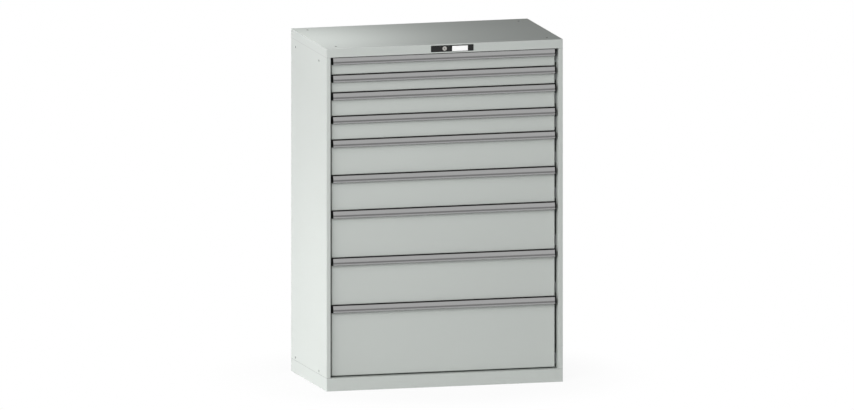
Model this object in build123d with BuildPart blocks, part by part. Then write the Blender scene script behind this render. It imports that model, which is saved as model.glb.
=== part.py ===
from build123d import *
import os
from math import cos, radians, sin

# Floor-standing drawer cabinet of folded sheet steel, in millimetres.
# X runs to the right, Y to the back and Z up; the origin is on the floor under the middle of the cabinet.

# Cabinet size
CABINET_WIDTH = 1023.0
CABINET_DEPTH = 572.0
SHALLOW_FRONT = 75.0  # heights of the drawers' spaces
LOW_FRONT = 100.0
MIDDLE_FRONT = 150.0
HIGH_FRONT = 200.0
DEEP_FRONT = 300.0
BASE_HEIGHT = 55.0
HEADER_HEIGHT = 38.0
STACK_FLOOR_GAP = 5.0  # base to the lowest drawer's space
STACK_TOP_GAP = 2.0  # highest drawer's space to the header

# Housing sheet
SHEET = 1.25
INNER_BEND = 0.25  # inside radius of a fold
FOOT_LIP = 30.0  # inward lip that the base stands on
COVER_LIP = 16.0  # inward lip under the top cover
FLANGE_WIDTH = 18.0  # front face of a side wall
FLANGE_RETURN = 55.0  # how far the front face folds back beside the drawers
REAR_FLANGE = 20.0

# Holes for bolting to a neighbour or to a worktop
SIDE_HOLE_RADIUS = 4.25
SIDE_HOLE_FRONT = 122.0  # from the front of the cabinet to the first row
SIDE_HOLE_REAR = 72.0  # second row to the back of the cabinet
SIDE_HOLE_LOW = 13.0  # above the base
SIDE_HOLE_HIGH = 30.0  # below the header
TOP_HOLE_RADIUS = 4.5
TOP_HOLE_SIDE = 55.0
TOP_HOLE_FRONT = 55.0
TOP_HOLE_REAR = 60.0

# Runner posts and telescopic runners
POST_WIDTH = 40.0
POST_DEPTH = 11.25
POST_SHEET = 2.0
FRONT_POST_INSET = 60.0  # from the front of the cabinet to the front post
REAR_POST_INSET = 96.0  # from the back of the cabinet to the rear post
RUNNER_SHEET = 2.0
RUNNER_HEIGHT = 46.0  # outer height of the cabinet member
RUNNER_RISE = 34.0  # drawer's floor level to the middle of its runner
RUNNER_CLEARANCE = 0.4  # running gap between two members, above and below
RETURN_CLEARANCE = 1.0  # middle member to the folded return of the side wall
MEMBER_END_GAP = 2.5  # drawer member to the web of the middle member
CABINET_MEMBER_GAP = 21.0  # lips of the cabinet member to the drawer's side
MIDDLE_MEMBER_GAP = 14.0  # lips of the middle member to the drawer's side
CABINET_MEMBER_INSET = 3.0  # behind the end of the folded return
CABINET_MEMBER_TAIL = 16.0  # behind the drawer's back
MIDDLE_MEMBER_INSET = 2.0  # behind the drawer front
MIDDLE_MEMBER_TAIL = 11.0  # behind the drawer's back

# Drawer trays
TRAY_SIDE_SPACE = 51.5  # side of the cabinet to the drawer's side
TRAY_REAR_SPACE = 70.0  # back of the cabinet to the drawer's back
TRAY_SHEET = 1.0
TRAY_LIFT = 8.0  # drawer's floor level to the underside of the tray
TRAY_HEADROOM = 17.0  # top of the tray to the next drawer's floor level
TRAY_RIM = 6.0  # folded rim along the sides and back

# Drawer fronts
PANEL_SETBACK = 25.0  # behind the front of the cabinet
PANEL_SIDE_GAP = 29.0  # side of the cabinet to the end of the panel
PANEL_THICKNESS = 16.0
PANEL_SHEET = 1.25
PANEL_BEND = 2.5  # outside radius of the panel's front folds
PANEL_SIDE_LIP = 32.0
PANEL_LIP = 12.0
PANEL_FLOOR_GAP = 0.8  # drawer's floor level to the panel

# Grip rails
GRIP_TOP_GAP = 2.0  # top of the grip to the next drawer's floor level
GRIP_SHEET = 2.0
GRIP_HEIGHT = 29.2
GRIP_HOOK = 10.0  # how far the grip reaches over the panel
GRIP_SHOULDER = 12.8  # how far its top stands out of the panel
GRIP_FACE = 16.0  # height of the leaning face
GRIP_LEAN = 3.8  # how far the face leans out on the way down
GRIP_GROOVE = 1.3  # depth of the groove under the face
GRIP_GROOVE_HEIGHT = 0.6
GRIP_LIP = 23.0  # top of the grip to the edge of its lip
GRIP_REACH = 18.8  # how far the lip stands out of the panel
GRIP_TUCK = 4.8  # how far the nose curls back under the lip
GRIP_EDGE = 1.0
CAP_THICKNESS = 4.4
CAP_SIDE_GAP = 27.3  # side of the cabinet to the end of the grip
CAP_REACH = 19.2
CAP_BELLY = 20.0  # top of the cap to where it reaches furthest
CAP_CHEEK_HEIGHT = 10.5  # a point between, where its edge is rounded outwards
CAP_CHEEK_REACH = 17.4

# Lock plate in the header
PLATE_WIDTH = 184.6
PLATE_SHIFT = 32.8  # middle of the plate to the right of the lock
PLATE_MARGIN = 5.25  # above and below the plate
PLATE_CORNER = 3.0
PLATE_EDGE = 0.5
PLATE_BACK = 2.0  # thickness of the part behind the header
PLATE_RIM = 2.5  # how far that part reaches behind the header
PLATE_CLEARANCE = 0.2
LABEL_WIDTH = 67.5
LABEL_HEIGHT = 21.5
LABEL_SHIFT = 66.25  # middle of the label to the right of the lock
LABEL_DROP = 1.5  # middle of the label below the middle of the plate
LABEL_CARD = 0.5
LABEL_RECESS = 0.8
LABEL_CLEARANCE = 0.2

# Lock and the linkage behind it
BARREL_RADIUS = 9.8
BARREL_LENGTH = 24.0
BARREL_EDGE = 0.6
BARREL_NUT_RADIUS = 13.0
BARREL_NUT = 3.0
PLUG_RADIUS = 6.8
PLUG_TAIL = 3.0  # how far the plug stands out behind the barrel
PLUG_INSET = 0.4
TURNING_FIT = 0.05
KEYWAY_WIDTH = 2.2
KEYWAY_HEIGHT = 9.0
KEYWAY_DEPTH = 16.0
KEYWAY_TILT = 35.0  # degrees, with the cabinet unlocked
ROD_RADIUS = 4.0
CRANK_RADIUS = 11.0
CRANK_SHEET = 3.0
CRANK_THROW = 8.0
CRANK_ANGLE = 45.0  # degrees that the pin lies below the rod, unlocked, and above it, locked
CRANK_GAP = 2.0  # crank to the locking bar
PIN_RADIUS = 2.0
PIN_PLAY = 0.4
PIN_TAIL = 2.0  # how far the pin stands out behind the locking bar
BAR_WIDTH = 40.0
BAR_SHEET = 3.0
BAR_REAR_SPACE = 21.0  # back of the cabinet to the back of the locking bar
BAR_END = 14.0  # below the lowest window
BAR_HEAD = 5.0  # above the crank pin's slot
LUG_WIDTH = 20.0
LUG_SHEET = 2.0
LUG_RISE = 45.0  # drawer's floor level to the top of its locking lug
LUG_HOOK = 12.0
LUG_PLAY = 3.0  # lug to the back of the locking bar
LUG_MARGIN = 2.0  # window round the lug
GUIDE_HEIGHT = 20.0
GUIDE_RISE = 52.0  # drawer's floor level to the foot of a guide
GUIDE_SHEET = 2.0
GUIDE_GRIP = 6.0  # how far a guide reaches over the bar's edge
GUIDE_CLEARANCE = 0.4

# Drawer spaces from the top down
front_heights = (
    SHALLOW_FRONT,
    SHALLOW_FRONT,
    LOW_FRONT,
    LOW_FRONT,
    MIDDLE_FRONT,
    MIDDLE_FRONT,
    HIGH_FRONT,
    HIGH_FRONT,
    DEEP_FRONT,
)
drawer_numbers = range(1, len(front_heights) + 1)
guided_drawers = (drawer_numbers[0], drawer_numbers[len(front_heights) // 2], drawer_numbers[-1])

# Levels and planes worked out from the sizes above
half_width = CABINET_WIDTH / 2
front_y = -CABINET_DEPTH / 2
rear_y = CABINET_DEPTH / 2
bend_radius = SHEET + INNER_BEND
stack_floor = BASE_HEIGHT + STACK_FLOOR_GAP
stack_top = stack_floor + sum(front_heights)
header_floor = stack_top + STACK_TOP_GAP
cabinet_height = header_floor + HEADER_HEIGHT
wall_height = header_floor - BASE_HEIGHT
rear_wall_y = rear_y - 2 * SHEET  # inner face of the rear wall
side_hole_spacing = CABINET_DEPTH - SIDE_HOLE_FRONT - SIDE_HOLE_REAR

panel_width = CABINET_WIDTH - 2 * PANEL_SIDE_GAP
panel_front_y = front_y + PANEL_SETBACK
panel_back_y = panel_front_y + PANEL_THICKNESS
tray_width = CABINET_WIDTH - 2 * TRAY_SIDE_SPACE
tray_back_y = rear_y - TRAY_REAR_SPACE
tray_depth = tray_back_y - panel_back_y
grip_half = half_width - CAP_SIDE_GAP - CAP_THICKNESS

post_face_x = half_width - SHEET - POST_DEPTH
middle_web_x = half_width - FLANGE_WIDTH - RETURN_CLEARANCE
drawer_member_x = middle_web_x - RUNNER_SHEET - MEMBER_END_GAP
member_step = 2 * (RUNNER_SHEET + RUNNER_CLEARANCE)  # each member is this much lower than the one round it
middle_height = RUNNER_HEIGHT - member_step
drawer_member_height = middle_height - member_step

lock_z = header_floor + HEADER_HEIGHT / 2
plate_height = HEADER_HEIGHT - 2 * PLATE_MARGIN
skin_back_y = front_y + SHEET
plate_back_y = skin_back_y + PLATE_BACK
plug_back_y = front_y + BARREL_LENGTH + PLUG_TAIL
bar_back_y = rear_y - BAR_REAR_SPACE
bar_front_y = bar_back_y - BAR_SHEET
crank_back_y = bar_front_y - CRANK_GAP
pin_x = -CRANK_THROW * cos(radians(CRANK_ANGLE))
pin_z = lock_z - CRANK_THROW * sin(radians(CRANK_ANGLE))


def floor_level(number):
    """Floor level of a drawer's space, drawers counted from the top."""
    return stack_top - sum(front_heights[:number])


def lug_top(number):
    """Top of a drawer's locking lug."""
    return floor_level(number) + LUG_RISE


def facing_front(depth):
    """Plane across the cabinet at a depth, X to the right and Z up; an extrusion from it comes forward."""
    return Plane.XZ.offset(-depth)


def save(piece, name):
    """Label a finished piece and write its file."""
    piece.part.label = name
    export_step(piece.part, f"parts/{name}.step")


def folded_pan(floor, height, lip):
    """Sheet pan of the cabinet's outline, closed on top, with an inward lip round its open underside."""
    with BuildPart() as pan:
        with BuildSketch(Plane.XY.offset(floor)):
            Rectangle(CABINET_WIDTH, CABINET_DEPTH)
        extrude(amount=height)
        fillet(pan.edges() - pan.faces().sort_by(Axis.Z)[0].edges(), bend_radius)
        with BuildSketch(Plane.XY.offset(floor + SHEET)):
            Rectangle(CABINET_WIDTH - 2 * SHEET, CABINET_DEPTH - 2 * SHEET)
        extrude(amount=height - 2 * SHEET, mode=Mode.SUBTRACT)
        with BuildSketch(Plane.XY.offset(floor)):
            Rectangle(CABINET_WIDTH - 2 * lip, CABINET_DEPTH - 2 * lip)
        extrude(amount=SHEET, mode=Mode.SUBTRACT)
    return pan.part


def runner_members(lip_x, web_x, height, levels, member_front, member_back):
    """Runner channels on the right side, open towards the drawer, one at each level."""
    depth = web_x - lip_x
    corners = [(lip_x, level) for level in levels]
    with BuildPart() as members:
        with BuildSketch(facing_front(member_back)):
            with Locations(corners):
                Rectangle(depth, height, align=(Align.MIN, Align.CENTER))
            with Locations(corners):
                Rectangle(
                    depth - RUNNER_SHEET,
                    height - 2 * RUNNER_SHEET,
                    align=(Align.MIN, Align.CENTER),
                    mode=Mode.SUBTRACT,
                )
        extrude(amount=member_back - member_front)
    return members.part


def on_grip(reach, drop, top):
    """Point of a grip's section, so far out of the panel and so far below the grip's top."""
    return (panel_front_y - reach, top - drop)


os.makedirs("parts", exist_ok=True)

# Base: the cabinet stands on the lip round its underside
base_shell = folded_pan(0, BASE_HEIGHT, FOOT_LIP)
with BuildPart() as base_pan:
    add(base_shell)
save(base_pan, "base_pan")

# Top cover with the header, its four bolt holes and the opening for the lock plate
cover_shell = folded_pan(header_floor, HEADER_HEIGHT, COVER_LIP)
with BuildPart() as top_cover:
    add(cover_shell)
    with BuildSketch(Plane.XY.offset(cabinet_height)):
        with Locations((0, (TOP_HOLE_FRONT - TOP_HOLE_REAR) / 2)):
            with GridLocations(
                CABINET_WIDTH - 2 * TOP_HOLE_SIDE,
                CABINET_DEPTH - TOP_HOLE_FRONT - TOP_HOLE_REAR,
                2,
                2,
            ):
                Circle(TOP_HOLE_RADIUS)
    extrude(amount=-SHEET, mode=Mode.SUBTRACT)
    with BuildSketch(facing_front(skin_back_y)):
        with Locations((PLATE_SHIFT, lock_z)):
            RectangleRounded(
                PLATE_WIDTH + 2 * PLATE_CLEARANCE,
                plate_height + 2 * PLATE_CLEARANCE,
                PLATE_CORNER + PLATE_CLEARANCE,
            )
    extrude(amount=SHEET, mode=Mode.SUBTRACT)
save(top_cover, "top_cover")

# Side walls: one folded sheet each, with a front face, its return beside the drawers and a rear flange
with BuildPart() as right_side_wall:
    with BuildSketch(Plane.XY.offset(BASE_HEIGHT)) as wall_plan:
        with Locations((half_width, 0)):
            Rectangle(SHEET, CABINET_DEPTH, align=(Align.MAX, Align.CENTER))
        with Locations((half_width, front_y)):
            Rectangle(FLANGE_WIDTH, SHEET, align=(Align.MAX, Align.MIN))
        with Locations((half_width - FLANGE_WIDTH, front_y)):
            Rectangle(SHEET, FLANGE_RETURN, align=(Align.MIN, Align.MIN))
        with Locations((half_width, rear_y)):
            Rectangle(REAR_FLANGE, SHEET, align=(Align.MAX, Align.MAX))
        fillet(wall_plan.vertices().group_by(Axis.Y)[0], bend_radius)
        fillet(wall_plan.vertices().group_by(Axis.Y)[-1].sort_by(Axis.X)[-1], bend_radius)
    extrude(amount=wall_height)
    with BuildSketch(Plane.YZ.offset(half_width)):
        row_y = front_y + SIDE_HOLE_FRONT + side_hole_spacing / 2
        row_z = (BASE_HEIGHT + SIDE_HOLE_LOW + header_floor - SIDE_HOLE_HIGH) / 2
        with Locations((row_y, row_z)):
            with GridLocations(side_hole_spacing, wall_height - SIDE_HOLE_LOW - SIDE_HOLE_HIGH, 2, 2):
                Circle(SIDE_HOLE_RADIUS)
    extrude(amount=-SHEET, mode=Mode.SUBTRACT)
save(right_side_wall, "right_side_wall")

with BuildPart() as left_side_wall:
    mirror(right_side_wall.part, about=Plane.YZ)
save(left_side_wall, "left_side_wall")

# Rear wall: a flat sheet lapped inside the rear flanges
with BuildPart() as rear_wall:
    with BuildSketch(facing_front(rear_wall_y + SHEET)):
        with Locations((0, BASE_HEIGHT)):
            Rectangle(CABINET_WIDTH - 2 * SHEET, wall_height, align=(Align.CENTER, Align.MIN))
    extrude(amount=SHEET)
save(rear_wall, "rear_wall")

# Posts on the side walls that carry the runners
with BuildPart() as runner_posts:
    front_post_y = front_y + FRONT_POST_INSET
    rear_post_y = rear_y - REAR_POST_INSET - POST_WIDTH
    with BuildSketch(Plane.XY.offset(BASE_HEIGHT)):
        with Locations((post_face_x, front_post_y), (post_face_x, rear_post_y)):
            Rectangle(POST_DEPTH, POST_WIDTH, align=(Align.MIN, Align.MIN))
        with Locations(
            (post_face_x + POST_SHEET, front_post_y + POST_SHEET),
            (post_face_x + POST_SHEET, rear_post_y + POST_SHEET),
        ):
            Rectangle(
                POST_DEPTH - POST_SHEET,
                POST_WIDTH - 2 * POST_SHEET,
                align=(Align.MIN, Align.MIN),
                mode=Mode.SUBTRACT,
            )
    extrude(amount=wall_height)
    mirror(about=Plane.YZ)
save(runner_posts, "runner_posts")

# Cabinet members of the runners, one each side for every drawer
cabinet_members = runner_members(
    tray_width / 2 + CABINET_MEMBER_GAP,
    post_face_x,
    RUNNER_HEIGHT,
    [floor_level(number) + RUNNER_RISE for number in drawer_numbers],
    front_y + FLANGE_RETURN + CABINET_MEMBER_INSET,
    tray_back_y + CABINET_MEMBER_TAIL,
)
with BuildPart() as right_cabinet_rails:
    add(cabinet_members)
save(right_cabinet_rails, "right_cabinet_rails")

with BuildPart() as left_cabinet_rails:
    mirror(cabinet_members, about=Plane.YZ)
save(left_cabinet_rails, "left_cabinet_rails")

# Lock plate: set flush in the header, with a rim behind the sheet, a hole for the lock and a label recess
with BuildPart() as lock_plate:
    with BuildSketch(facing_front(skin_back_y)):
        with Locations((PLATE_SHIFT, lock_z)):
            RectangleRounded(PLATE_WIDTH, plate_height, PLATE_CORNER)
    extrude(amount=SHEET)
    chamfer(lock_plate.faces().sort_by(Axis.Y)[0].edges(), PLATE_EDGE)
    with BuildSketch(facing_front(plate_back_y)):
        with Locations((PLATE_SHIFT, lock_z)):
            Rectangle(PLATE_WIDTH + 2 * PLATE_RIM, plate_height + 2 * PLATE_RIM)
    extrude(amount=PLATE_BACK)
    with BuildSketch(facing_front(plate_back_y)):
        with Locations((0, lock_z)):
            Circle(BARREL_RADIUS + TURNING_FIT)
    extrude(amount=SHEET + PLATE_BACK, mode=Mode.SUBTRACT)
    with BuildSketch(facing_front(front_y)):
        with Locations((LABEL_SHIFT, lock_z - LABEL_DROP)):
            Rectangle(LABEL_WIDTH + 2 * LABEL_CLEARANCE, LABEL_HEIGHT + 2 * LABEL_CLEARANCE)
    extrude(amount=-LABEL_RECESS, mode=Mode.SUBTRACT)
save(lock_plate, "lock_plate")

with BuildPart() as label_card:
    with BuildSketch(facing_front(front_y + LABEL_RECESS)):
        with Locations((LABEL_SHIFT, lock_z - LABEL_DROP)):
            Rectangle(LABEL_WIDTH, LABEL_HEIGHT)
    extrude(amount=LABEL_CARD)
save(label_card, "label_card")

# Lock barrel with its nut against the back of the plate
with BuildPart() as lock_barrel:
    with BuildSketch(facing_front(front_y + BARREL_LENGTH)):
        with Locations((0, lock_z)):
            Circle(BARREL_RADIUS)
    extrude(amount=BARREL_LENGTH)
    chamfer(lock_barrel.faces().sort_by(Axis.Y)[0].edges(), BARREL_EDGE)
    with BuildSketch(facing_front(plate_back_y + BARREL_NUT)):
        with Locations((0, lock_z)):
            RegularPolygon(BARREL_NUT_RADIUS, 6, major_radius=False)
    extrude(amount=BARREL_NUT)
    with BuildSketch(facing_front(front_y + BARREL_LENGTH)):
        with Locations((0, lock_z)):
            Circle(PLUG_RADIUS + TURNING_FIT)
    extrude(amount=BARREL_LENGTH, mode=Mode.SUBTRACT)
save(lock_barrel, "lock_barrel")

# Lock plug with its keyway
with BuildPart() as lock_plug:
    with BuildSketch(facing_front(plug_back_y)):
        with Locations((0, lock_z)):
            Circle(PLUG_RADIUS)
    extrude(amount=plug_back_y - front_y - PLUG_INSET)
    with BuildSketch(facing_front(front_y + KEYWAY_DEPTH)):
        with Locations((0, lock_z)):
            SlotOverall(KEYWAY_HEIGHT, KEYWAY_WIDTH, rotation=90 + KEYWAY_TILT)
    extrude(amount=KEYWAY_DEPTH, mode=Mode.SUBTRACT)
save(lock_plug, "lock_plug")

# Rod from the plug to the back of the cabinet, with the crank and pin that lift the locking bar
with BuildPart() as lock_rod:
    with BuildSketch(facing_front(crank_back_y)):
        with Locations((0, lock_z)):
            Circle(ROD_RADIUS)
    extrude(amount=crank_back_y - plug_back_y)
    with BuildSketch(facing_front(crank_back_y)):
        with Locations((0, lock_z)):
            Circle(CRANK_RADIUS)
    extrude(amount=CRANK_SHEET)
    with BuildSketch(facing_front(bar_back_y + PIN_TAIL)):
        with Locations((pin_x, pin_z)):
            Circle(PIN_RADIUS)
    extrude(amount=bar_back_y + PIN_TAIL - crank_back_y)
save(lock_rod, "lock_rod")

# Locking bar: lifted by the crank pin, with a window for every drawer's lug
slot_height = 2 * (PIN_RADIUS + PIN_PLAY)
slot_width = CRANK_THROW + pin_x + slot_height
bar_top = pin_z + slot_height / 2 + BAR_HEAD
window_height = LUG_SHEET + LUG_HOOK + 2 * LUG_MARGIN
window_tops = [lug_top(number) + LUG_MARGIN for number in drawer_numbers]
bar_floor = window_tops[-1] - window_height - BAR_END
with BuildPart() as locking_bar:
    with BuildSketch(facing_front(bar_back_y)):
        with Locations((0, bar_floor)):
            Rectangle(BAR_WIDTH, bar_top - bar_floor, align=(Align.CENTER, Align.MIN))
        with Locations([(0, top) for top in window_tops]):
            Rectangle(
                LUG_WIDTH + 2 * LUG_MARGIN,
                window_height,
                align=(Align.CENTER, Align.MAX),
                mode=Mode.SUBTRACT,
            )
        with Locations(((pin_x - CRANK_THROW) / 2, pin_z)):
            SlotOverall(slot_width, slot_height, mode=Mode.SUBTRACT)
    extrude(amount=BAR_SHEET)
save(locking_bar, "locking_bar")

# Guides on the rear wall that hold the edges of the locking bar
guide_half = BAR_WIDTH / 2 + GUIDE_CLEARANCE + GUIDE_SHEET
guide_front_y = bar_front_y - GUIDE_CLEARANCE - GUIDE_SHEET
with BuildPart() as locking_bar_guides:
    for number in guided_drawers:
        with BuildSketch(Plane.XY.offset(floor_level(number) + GUIDE_RISE)):
            with Locations((0, guide_front_y)):
                Rectangle(2 * guide_half, rear_wall_y - guide_front_y, align=(Align.CENTER, Align.MIN))
                Rectangle(
                    BAR_WIDTH - 2 * GUIDE_GRIP,
                    rear_wall_y - GUIDE_SHEET - guide_front_y,
                    align=(Align.CENTER, Align.MIN),
                    mode=Mode.SUBTRACT,
                )
            with Locations((0, (bar_front_y + bar_back_y) / 2)):
                Rectangle(
                    BAR_WIDTH + 2 * GUIDE_CLEARANCE,
                    BAR_SHEET + 2 * GUIDE_CLEARANCE,
                    mode=Mode.SUBTRACT,
                )
        extrude(amount=GUIDE_HEIGHT)
save(locking_bar_guides, "locking_bar_guides")

# Drawers, counted from the top
for number in drawer_numbers:
    floor = floor_level(number)
    grip_top = floor + front_heights[number - 1] - GRIP_TOP_GAP
    panel_floor = floor + PANEL_FLOOR_GAP
    panel_height = grip_top - GRIP_SHEET - panel_floor
    tray_floor = floor + TRAY_LIFT
    tray_height = front_heights[number - 1] - TRAY_LIFT - TRAY_HEADROOM
    runner_z = floor + RUNNER_RISE

    # Front panel: a folded pan with returned lips at the back
    with BuildPart() as drawer_front:
        with BuildSketch(facing_front(panel_back_y)):
            with Locations((0, panel_floor + panel_height / 2)):
                Rectangle(panel_width, panel_height)
        extrude(amount=PANEL_THICKNESS)
        fillet(drawer_front.faces().sort_by(Axis.Y)[0].edges(), PANEL_BEND)
        with BuildSketch(facing_front(panel_back_y - PANEL_SHEET)):
            with Locations((0, panel_floor + panel_height / 2)):
                Rectangle(panel_width - 2 * PANEL_SHEET, panel_height - 2 * PANEL_SHEET)
        extrude(amount=PANEL_THICKNESS - 2 * PANEL_SHEET, mode=Mode.SUBTRACT)
        with BuildSketch(facing_front(panel_back_y)):
            with Locations((0, panel_floor + panel_height / 2)):
                Rectangle(panel_width - 2 * PANEL_SIDE_LIP, panel_height - 2 * PANEL_LIP)
        extrude(amount=PANEL_SHEET, mode=Mode.SUBTRACT)
    save(drawer_front, f"drawer_{number}_front")

    # Tray with its folded rim, the drawer members of its runners and its locking lug
    with BuildPart() as drawer_tray:
        with BuildSketch(Plane.XY.offset(tray_floor)):
            with Locations((0, panel_back_y)):
                Rectangle(tray_width, tray_depth, align=(Align.CENTER, Align.MIN))
        extrude(amount=tray_height)
        with BuildSketch(Plane.XY.offset(tray_floor + tray_height - TRAY_SHEET)):
            with Locations((0, panel_back_y)):
                Rectangle(tray_width + 2 * TRAY_RIM, tray_depth + TRAY_RIM, align=(Align.CENTER, Align.MIN))
        extrude(amount=TRAY_SHEET)
        with BuildSketch(Plane.XY.offset(tray_floor + TRAY_SHEET)):
            with Locations((0, panel_back_y + TRAY_SHEET)):
                Rectangle(
                    tray_width - 2 * TRAY_SHEET,
                    tray_depth - 2 * TRAY_SHEET,
                    align=(Align.CENTER, Align.MIN),
                )
        extrude(amount=tray_height - TRAY_SHEET, mode=Mode.SUBTRACT)
        with BuildSketch(facing_front(tray_back_y)):
            with Locations((tray_width / 2, runner_z)):
                Rectangle(
                    drawer_member_x - tray_width / 2,
                    drawer_member_height,
                    align=(Align.MIN, Align.CENTER),
                )
            with Locations((tray_width / 2 + RUNNER_SHEET, runner_z)):
                Rectangle(
                    drawer_member_x - tray_width / 2 - RUNNER_SHEET,
                    drawer_member_height - 2 * RUNNER_SHEET,
                    align=(Align.MIN, Align.CENTER),
                    mode=Mode.SUBTRACT,
                )
            mirror(about=Plane.YZ)
        extrude(amount=tray_depth)
        hook_back_y = bar_back_y + LUG_PLAY + LUG_SHEET
        with BuildSketch(Plane.YZ.offset(-LUG_WIDTH / 2)):
            with Locations((tray_back_y, lug_top(number))):
                Rectangle(hook_back_y - tray_back_y, LUG_SHEET, align=(Align.MIN, Align.MAX))
            with Locations((hook_back_y, lug_top(number))):
                Rectangle(LUG_SHEET, LUG_SHEET + LUG_HOOK, align=(Align.MAX, Align.MAX))
        extrude(amount=LUG_WIDTH)
    save(drawer_tray, f"drawer_{number}_tray")

    # Grip rail hooked over the panel's top edge: a leaning face, a groove under it, a lip and a curled nose
    shoulder = on_grip(GRIP_SHOULDER, 0, grip_top)
    nose_end = on_grip(GRIP_REACH - GRIP_TUCK, GRIP_HEIGHT, grip_top)
    face_reach = GRIP_SHOULDER + GRIP_LEAN
    groove_reach = face_reach - GRIP_GROOVE
    with BuildPart() as drawer_grip:
        with BuildSketch(Plane.YZ.offset(-grip_half)) as grip_section:
            with BuildLine():
                front = Polyline(
                    on_grip(-GRIP_HOOK, 0, grip_top),
                    shoulder,
                    on_grip(face_reach, GRIP_FACE, grip_top),
                    on_grip(groove_reach, GRIP_FACE + GRIP_GROOVE_HEIGHT, grip_top),
                    on_grip(GRIP_REACH, GRIP_LIP, grip_top),
                )
                nose = TangentArc(front @ 1, nose_end, tangent=(0, -1))
                Polyline(
                    nose @ 1,
                    on_grip(GRIP_REACH - GRIP_TUCK, GRIP_HEIGHT - GRIP_SHEET, grip_top),
                    on_grip(GRIP_REACH - GRIP_SHEET, GRIP_LIP + GRIP_SHEET / 2, grip_top),
                    on_grip(groove_reach - GRIP_SHEET, GRIP_FACE + GRIP_SHEET, grip_top),
                    on_grip(GRIP_SHOULDER - GRIP_SHEET, GRIP_SHEET, grip_top),
                    on_grip(-GRIP_HOOK, GRIP_SHEET, grip_top),
                    front @ 0,
                )
            make_face()
            fillet(grip_section.vertices().sort_by_distance(shoulder)[0], GRIP_EDGE)
        extrude(amount=2 * grip_half)
    save(drawer_grip, f"drawer_{number}_grip")

    # End caps that close the grip's section
    with BuildPart() as grip_caps:
        with BuildSketch(Plane.YZ.offset(grip_half)):
            with BuildLine():
                cap_top = Line(on_grip(0, 0, grip_top), shoulder)
                cheek = ThreePointArc(
                    shoulder,
                    on_grip(CAP_CHEEK_REACH, CAP_CHEEK_HEIGHT, grip_top),
                    on_grip(CAP_REACH, CAP_BELLY, grip_top),
                )
                TangentArc(cheek @ 1, nose_end, tangent=(0, -1))
                Polyline(nose_end, on_grip(0, GRIP_HEIGHT, grip_top), cap_top @ 0)
            make_face()
        extrude(amount=CAP_THICKNESS)
        mirror(about=Plane.YZ)
    save(grip_caps, f"drawer_{number}_grip_caps")

    # Middle members of the runners
    right_middle = runner_members(
        tray_width / 2 + MIDDLE_MEMBER_GAP,
        middle_web_x,
        middle_height,
        [runner_z],
        panel_back_y + MIDDLE_MEMBER_INSET,
        tray_back_y + MIDDLE_MEMBER_TAIL,
    )
    with BuildPart() as middle_rails:
        add(right_middle)
        mirror(about=Plane.YZ)
    save(middle_rails, f"drawer_{number}_middle_rails")

print(f"Cabinet {CABINET_WIDTH:.0f} x {CABINET_DEPTH:.0f} x {cabinet_height:.0f} mm")
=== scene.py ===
import bpy
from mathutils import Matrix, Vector


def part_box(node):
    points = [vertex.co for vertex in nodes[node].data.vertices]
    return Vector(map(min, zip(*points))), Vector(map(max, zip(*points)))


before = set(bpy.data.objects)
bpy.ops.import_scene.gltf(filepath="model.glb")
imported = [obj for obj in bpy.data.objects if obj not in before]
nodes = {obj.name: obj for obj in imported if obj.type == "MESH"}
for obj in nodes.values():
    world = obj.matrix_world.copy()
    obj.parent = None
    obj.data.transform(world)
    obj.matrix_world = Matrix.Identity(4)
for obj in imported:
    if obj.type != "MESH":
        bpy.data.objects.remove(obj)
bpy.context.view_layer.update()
drawers = range(1, 10)
scene = bpy.context.scene

# The cabinet's own sizes that the scene works with, in metres
cover_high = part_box("top_cover")[1]
wall_low, wall_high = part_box("right_side_wall")
plug_low, plug_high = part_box("lock_plug")
lock_axis = (plug_low + plug_high) / 2
middle = Vector((0.0, 0.0, cover_high.z / 2))

# Bolt holes, darkened with painted shade: middle of the pattern, from there to a hole, squeeze along the hole's
# axis, radius
SIDE_BOLTS = ((0.0, 0.025, 0.725), (wall_high.x, 0.189, 0.657), (0.02, 1.0, 1.0), 0.00425)
TOP_BOLTS = ((0.0, -0.0025, cover_high.z), (0.4565, 0.2285, 0.0), (1.0, 1.0, 0.02), 0.0045)
HOLE_SHADE_RIM = 0.0004  # ring of painted shade round a bolt hole

# Joints of the walls with the base and with the header: height, and colour of the painted shade there
SEAM_SHADES = ((wall_low.z, "#7A7E7B"), (wall_high.z, "#B4B8B5"))
SEAM_SHADE_WIDTH = 0.0008  # to each side of a joint

# Sizes of the drawn textures, in millimetres
PEEL_MM = 6
DRIFT_MM = 500
CLOUD_MM = 25
FIBRE_MM = 2
LATHE_RING_MM = 0.8

# Depth in the lock's plug over which painted shade darkens it, in metres
KEYWAY_SHADE_START = 0.001
KEYWAY_SHADE_FULL = 0.003

# Floor: half its size, and where the cabinet's shadow fades out
FLOOR_REACH = 30.0
FLOOR_DROP = 0.0005
SHADOW_NEAR = 0.5
SHADOW_FAR = 1.0
SHADOW_WHITE = 0.93  # share of plain white near the cabinet


def linear(hex_code):
    """Linear colour of an sRGB hex value."""
    channels = [int(hex_code[i : i + 2], 16) / 255 for i in (1, 3, 5)]
    return [c / 12.92 if c <= 0.04045 else ((c + 0.055) / 1.055) ** 2.4 for c in channels] + [1.0]


def per_metre(millimetres):
    """Texture scale that gives a pattern of this size."""
    return 1000.0 / millimetres


def feed(tree, made, inputs):
    """Set a node's inputs; each is a value, or another node's output to link."""
    for socket, value in inputs.items():
        if isinstance(value, bpy.types.NodeSocket):
            tree.links.new(value, made.inputs[socket])
        else:
            made.inputs[socket].default_value = value


def add_node(tree, kind, inputs=None, **settings):
    """Add a node with its settings and inputs."""
    made = tree.nodes.new(kind)
    for name, value in settings.items():
        setattr(made, name, value)
    feed(tree, made, inputs or {})
    return made


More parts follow.
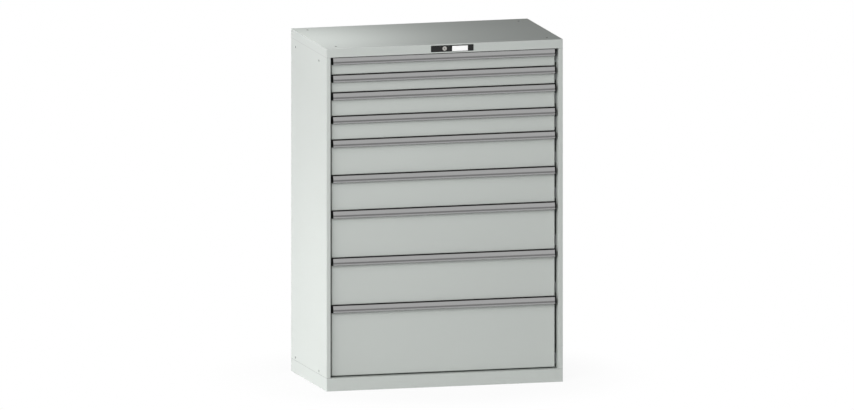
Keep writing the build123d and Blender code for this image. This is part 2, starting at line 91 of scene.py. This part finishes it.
def noise(tree, place, size_mm, detail):
    """Noise with patches of about this size."""
    inputs = {"Vector": place, "Scale": per_metre(size_mm), "Detail": detail}
    return add_node(tree, "ShaderNodeTexNoise", inputs).outputs["Fac"]


def blend(tree, factor, first, second):
    """Colour between two, by a factor."""
    inputs = {"Factor": factor, "A": first, "B": second}
    return add_node(tree, "ShaderNodeMix", inputs, data_type="RGBA").outputs["Result"]


def remap(tree, value, start, end, low=0.0, high=1.0, **settings):
    """Number that goes from start to end while the value goes from low to high."""
    inputs = {"Value": value, "From Min": low, "From Max": high, "To Min": start, "To Max": end}
    return add_node(tree, "ShaderNodeMapRange", inputs, **settings).outputs["Result"]


def dents(tree, height, strength, depth):
    """Normal of a surface with dents this deep, in metres."""
    inputs = {"Height": height, "Strength": strength, "Distance": depth}
    return add_node(tree, "ShaderNodeBump", inputs).outputs["Normal"]


def calculate(tree, operation, *values):
    """One number from others."""
    return add_node(tree, "ShaderNodeMath", dict(enumerate(values)), operation=operation).outputs[0]


def on_vectors(tree, operation, *values):
    """Vector from others, or their length or product as one number."""
    made = add_node(tree, "ShaderNodeVectorMath", dict(enumerate(values)), operation=operation)
    return made.outputs["Value" if operation in ("LENGTH", "DOT_PRODUCT") else "Vector"]


def along_axis(tree, vector, axis):
    """One of a vector's three numbers."""
    return add_node(tree, "ShaderNodeSeparateXYZ", {"Vector": vector}).outputs[axis]


def either(tree, path, *kinds):
    """One where a ray is of one of these kinds."""
    found = path.outputs[kinds[0]]
    for kind in kinds[1:]:
        found = calculate(tree, "MAXIMUM", found, path.outputs[kind])
    return found


def new_finish(name):
    """Empty material: its tree, its shader, and the place on the piece in metres."""
    finish = bpy.data.materials.new(name)
    finish.use_nodes = True
    tree = finish.node_tree
    tree.nodes.clear()
    shader = add_node(tree, "ShaderNodeBsdfPrincipled")
    add_node(tree, "ShaderNodeOutputMaterial", {"Surface": shader.outputs["BSDF"]})
    place = add_node(tree, "ShaderNodeTexCoord").outputs["Object"]
    return finish, tree, shader, place


def powder_coat(name, base_hex, deep_hex, bolt_rows=(), seam_shades=()):
    """Polyester powder baked on sheet steel: one even colour with a satin sheen and a faint orange peel.
    The real peel is 2 mm wide and is drawn at 6 mm so that it shows; slow drifts of tone are half a metre wide.
    Painted shade darkens the rims of the bolt holes, and painted shade draws a fine darker line along a joint on
    the upright faces."""
    finish, tree, shader, place = new_finish(name)
    tone = blend(tree, noise(tree, place, DRIFT_MM, 2.0), linear(deep_hex), linear(base_hex))
    # painted shade: the rims of the bolt holes are darkened
    for centre, reach, squeeze, radius in bolt_rows:
        away = on_vectors(tree, "SUBTRACT", place, centre)
        away = on_vectors(tree, "ABSOLUTE", away)
        away = on_vectors(tree, "SUBTRACT", away, reach)
        away = on_vectors(tree, "MULTIPLY", away, squeeze)
        hole_shade = calculate(tree, "LESS_THAN", on_vectors(tree, "LENGTH", away), radius + HOLE_SHADE_RIM)
        tone = blend(tree, hole_shade, tone, linear("#121415"))
    # painted shade: a fine darker line along each joint on the upright faces
    for seam, shade_hex in seam_shades:
        near = calculate(tree, "COMPARE", along_axis(tree, place, "Z"), seam, SEAM_SHADE_WIDTH)
        facing = add_node(tree, "ShaderNodeNewGeometry").outputs["True Normal"]
        upright = calculate(tree, "COMPARE", along_axis(tree, facing, "Z"), 0.0, 0.5)
        tone = blend(tree, calculate(tree, "MULTIPLY", near, upright), tone, linear(shade_hex))
    peel = noise(tree, place, PEEL_MM, 1.0)
    look = {
        "Base Color": tone,
        "Roughness": remap(tree, peel, 0.36, 0.44),
        "Normal": dents(tree, peel, 0.12, 0.0002),
        "IOR": 1.5,
    }
    feed(tree, shader, look)
    return finish


def drawn_metal(name, base_hex, line_mm, along, smooth, rough):
    """Metal with fine lines along one axis, as an extrusion die or a drawing die leaves them.
    Real lines are about 0.1 mm apart; they are drawn coarser so that they show."""
    finish, tree, shader, place = new_finish(name)
    stretch = [1.0, 1.0, 1.0]
    stretch[along] = 0.004
    lines = add_node(tree, "ShaderNodeMapping", {"Vector": place, "Scale": stretch})
    grain = noise(tree, lines.outputs["Vector"], line_mm, 2.0)
    look = {
        "Base Color": linear(base_hex),
        "Metallic": 1.0,
        "Roughness": remap(tree, grain, smooth, rough),
        "Normal": dents(tree, grain, 0.1, 0.0001),
    }
    feed(tree, shader, look)
    return finish


def zinc_plate(name, bright_hex, dull_hex):
    """Bright zinc on steel, passivated: cloudy patches about 25 mm wide, shinier where they are brighter."""
    finish, tree, shader, place = new_finish(name)
    clouds = noise(tree, place, CLOUD_MM, 4.0)
    look = {
        "Base Color": blend(tree, clouds, linear(dull_hex), linear(bright_hex)),
        "Metallic": 1.0,
        "Roughness": remap(tree, clouds, 0.42, 0.28),
    }
    feed(tree, shader, look)
    return finish


def moulded_plastic(name, base_hex, grain_mm, roughness):
    """Plastic from a spark-eroded mould: dark, dull, with a fine even grain drawn a little coarse."""
    finish, tree, shader, place = new_finish(name)
    look = {
        "Base Color": linear(base_hex),
        "Roughness": roughness,
        "IOR": 1.5,
        "Specular IOR Level": 0.15,
        "Normal": dents(tree, noise(tree, place, grain_mm, 1.0), 0.25, 0.0001),
    }
    feed(tree, shader, look)
    return finish


def card_stock(name, base_hex, fibre_hex):
    """Bright white card behind a clear film: matt with short fibres, drawn 2 mm long, under a thin gloss.
    The little glow is painted light, which makes the card brighter than the lamps alone would."""
    finish, tree, shader, place = new_finish(name)
    look = {
        "Base Color": blend(tree, noise(tree, place, FIBRE_MM, 3.0), linear(fibre_hex), linear(base_hex)),
        "Roughness": 0.85,
        "Coat Weight": 1.0,
        "Coat Roughness": 0.12,
        # painted glow: the card gives off a little light of its own, so it looks brighter than the lamps make it
        "Emission Color": linear(base_hex),
        "Emission Strength": 0.18,
    }
    feed(tree, shader, look)
    return finish


def turned_nickel(name, base_hex):
    """Nickel plate on turned brass: bright, with rings round the lock's axis from the lathe, drawn 0.8 mm apart.
    Deeper than its front face, as in the keyway, the plug is darkened with painted shade."""
    finish, tree, shader, place = new_finish(name)
    centred = add_node(
        tree, "ShaderNodeMapping", {"Vector": place, "Location": [-lock_axis.x, 0.0, -lock_axis.z]}
    )
    rings = add_node(
        tree,
        "ShaderNodeTexWave",
        {"Vector": centred.outputs["Vector"], "Scale": per_metre(LATHE_RING_MM) / 6.283},
        wave_type="RINGS",
        rings_direction="Y",
    )
    # painted shade in the keyway: the plug darkens with depth behind its front face
    keyway_shade = remap(
        tree, along_axis(tree, place, "Y"), 0.0, 1.0, plug_low.y + KEYWAY_SHADE_START, plug_low.y + KEYWAY_SHADE_FULL
    )
    look = {
        "Base Color": blend(tree, keyway_shade, linear(base_hex), linear("#15110C")),
        "Metallic": 1.0,
        "Roughness": remap(tree, rings.outputs["Fac"], 0.18, 0.3),
    }
    feed(tree, shader, look)
    return finish


def give(finish, *names):
    """Put a finish on CAD nodes."""
    for name in names:
        slots = nodes[name].data.materials
        slots.clear()
        slots.append(finish)


def make_floor():
    """White floor that keeps the cabinet's shadow near it and is plain white further away."""
    mesh = bpy.data.meshes.new("floor")
    corners = [(x * FLOOR_REACH, y * FLOOR_REACH, 0) for x, y in ((-1, -1), (1, -1), (1, 1), (-1, 1))]
    mesh.from_pydata(corners, [], [(0, 1, 2, 3)])
    finish, tree, shader, place = new_finish("white_floor")
    feed(tree, shader, {"Base Color": linear("#F2F2F2"), "Roughness": 0.9, "Specular IOR Level": 0.0})
    path = add_node(tree, "ShaderNodeLightPath")
    seen = either(tree, path, "Is Camera Ray", "Is Glossy Ray", "Is Transmission Ray")
    away = on_vectors(tree, "LENGTH", place)
    white = remap(
        tree, away, SHADOW_WHITE, 1.0, SHADOW_NEAR, SHADOW_FAR, interpolation_type="SMOOTHSTEP"
    )
    share = calculate(tree, "MULTIPLY", seen, white)
    glow = add_node(tree, "ShaderNodeEmission", {"Color": linear("#FFFFFF"), "Strength": 1.0})
    both = add_node(
        tree, "ShaderNodeMixShader", {0: share, 1: shader.outputs["BSDF"], 2: glow.outputs["Emission"]}
    )
    ending = next(n for n in tree.nodes if n.type == "OUTPUT_MATERIAL")
    feed(tree, ending, {"Surface": both.outputs[0]})
    mesh.materials.append(finish)
    floor = bpy.data.objects.new("floor", mesh)
    floor.location.z = -FLOOR_DROP
    scene.collection.objects.link(floor)
    return floor


def make_world():
    """White surroundings that light the cabinet mostly from the front, with a ceiling that is darker overhead.
    Reflections see it brighter than soft light does, and the background itself is plain white."""
    world = bpy.data.worlds.new("studio")
    scene.world = world
    world.use_nodes = True
    tree = world.node_tree
    tree.nodes.clear()
    path = add_node(tree, "ShaderNodeLightPath")
    direction = add_node(tree, "ShaderNodeTexCoord").outputs["Generated"]
    glossy = path.outputs["Is Glossy Ray"]
    overhead = calculate(tree, "MULTIPLY", glossy, 0.5)
    ceiling = remap(tree, along_axis(tree, direction, "Z"), 1.0, overhead, 0.3, 0.6)
    facing = on_vectors(tree, "DOT_PRODUCT", direction, (-0.26, -0.97, 0.0))
    level = remap(tree, facing, 0.05, 0.66, -1.0, 1.0)
    gain = remap(tree, glossy, 1.0, 1.68)
    strength = calculate(tree, "MULTIPLY", calculate(tree, "MULTIPLY", ceiling, level), gain)
    fill = add_node(tree, "ShaderNodeBackground", {"Color": linear("#FFFFFF"), "Strength": strength})
    seen = add_node(tree, "ShaderNodeBackground", {"Color": linear("#FFFFFF"), "Strength": 1.0})
    clear = either(tree, path, "Is Camera Ray", "Is Transmission Ray")
    both = add_node(
        tree,
        "ShaderNodeMixShader",
        {0: clear, 1: fill.outputs["Background"], 2: seen.outputs["Background"]},
    )
    add_node(tree, "ShaderNodeOutputWorld", {"Surface": both.outputs[0]})


def place_lamp(name, lamp, place, facing, reflected):
    """Put a lamp in the studio, shining along a direction."""
    made = bpy.data.objects.new(name, lamp)
    made.location = place
    made.rotation_euler = Vector(facing).to_track_quat("-Z", "Y").to_euler()
    made.visible_glossy = reflected
    scene.collection.objects.link(made)


def softbox(name, place, aim, width, height, power, reflected=False):
    """Rectangular soft lamp at a place, facing the point it is aimed at."""
    lamp = bpy.data.lights.new(name, "AREA")
    lamp.shape = "RECTANGLE"
    lamp.size = width
    lamp.size_y = height
    lamp.energy = power
    place_lamp(name, lamp, place, Vector(aim) - Vector(place), reflected)


def lamp_bank(name, place, facing, power, spread):
    """Wide bank of distant lamps, even over the whole cabinet."""
    lamp = bpy.data.lights.new(name, "SUN")
    lamp.energy = power
    lamp.angle = spread
    place_lamp(name, lamp, place, facing, False)


def make_camera(view_from, width):
    """Parallel view of the cabinet's middle from a direction, as wide as this in metres."""
    data = bpy.data.cameras.new("camera")
    data.type = "ORTHO"
    data.ortho_scale = width
    data.clip_end = 60.0
    camera = bpy.data.objects.new("camera", data)
    camera.location = middle + 8.0 * view_from
    camera.rotation_euler = view_from.to_track_quat("Z", "Y").to_euler()
    scene.collection.objects.link(camera)
    scene.camera = camera


# Finishes
housing_paint = powder_coat(
    "powder_coated_steel_housing", "#CCD1CD", "#CACFCB", (SIDE_BOLTS, TOP_BOLTS), SEAM_SHADES
)
front_paint = powder_coat("powder_coated_steel_fronts", "#CCD1CD", "#CACFCB")
tray_paint = powder_coat("powder_coated_steel_trays", "#CCD1CD", "#C8CDC9")
grip_metal = drawn_metal("anodised_aluminium_grips", "#A6A6A6", 1.2, 0, 0.2, 0.28)
rod_metal = drawn_metal("drawn_steel_rod", "#B4B6B8", 0.8, 1, 0.3, 0.4)
rail_zinc = zinc_plate("zinc_plated_steel_rails", "#C6C9CC", "#B2B6BB")
runner_zinc = zinc_plate("zinc_plated_steel_runners", "#CBCDCF", "#B8BBBF")
cap_plastic = moulded_plastic("moulded_polypropylene_caps", "#030303", 1.0, 0.7)
plate_plastic = moulded_plastic("moulded_abs_plate", "#2B2B2B", 0.8, 0.5)
label_card = card_stock("white_card", "#FFFFFF", "#FBFBFA")
lock_metal = turned_nickel("nickel_plated_lock", "#B4B2AE")

give(housing_paint, "base_pan", "top_cover", "left_side_wall", "right_side_wall", "rear_wall")
give(rail_zinc, "runner_posts", "left_cabinet_rails", "right_cabinet_rails")
give(rail_zinc, "locking_bar_guides", "locking_bar")
give(plate_plastic, "lock_plate")
give(label_card, "label_card")
give(lock_metal, "lock_barrel", "lock_plug")
give(rod_metal, "lock_rod")
for n in drawers:
    give(front_paint, f"drawer_{n}_front")
    give(tray_paint, f"drawer_{n}_tray")
    give(grip_metal, f"drawer_{n}_grip")
    give(cap_plastic, f"drawer_{n}_grip_caps")
    give(runner_zinc, f"drawer_{n}_middle_rails")

# Studio: the lamps are written with their place and aim in metres, their size and their power in watts
floor = make_floor()
make_world()
softbox("side_softbox", (-2.1, -0.1, 0.12), (0.0, -0.1, 0.45), 1.0, 0.6, 20.5, reflected=True)
softbox("front_softbox", (-1.8, -2.8, 2.2), (0.0, -0.3, 1.5), 1.2, 1.2, 29.0)
softbox("top_softbox", (-0.58, 0.0, 2.03), (-0.58, 0.0, 1.45), 0.5, 0.5, 4.0, reflected=True)
softbox("rear_softbox", (0.8, 4.0, 0.7), (0.0, 0.3, 0.7), 2.4, 1.2, 45.0)
softbox("right_softbox", (4.0, 0.4, 0.8), (0.5, 0.0, 0.7), 1.2, 1.2, 32.0)
lamp_bank("ceiling_bank", (0.0, -3.0, 3.5), (0.565, 0.565, -0.602), power=1.2, spread=0.70)

# Camera: turned 15 degrees to the left and 9 degrees up
make_camera(Vector((-0.2556, -0.9540, 0.1564)), 3.570)
scene.view_settings.view_transform = "Standard"
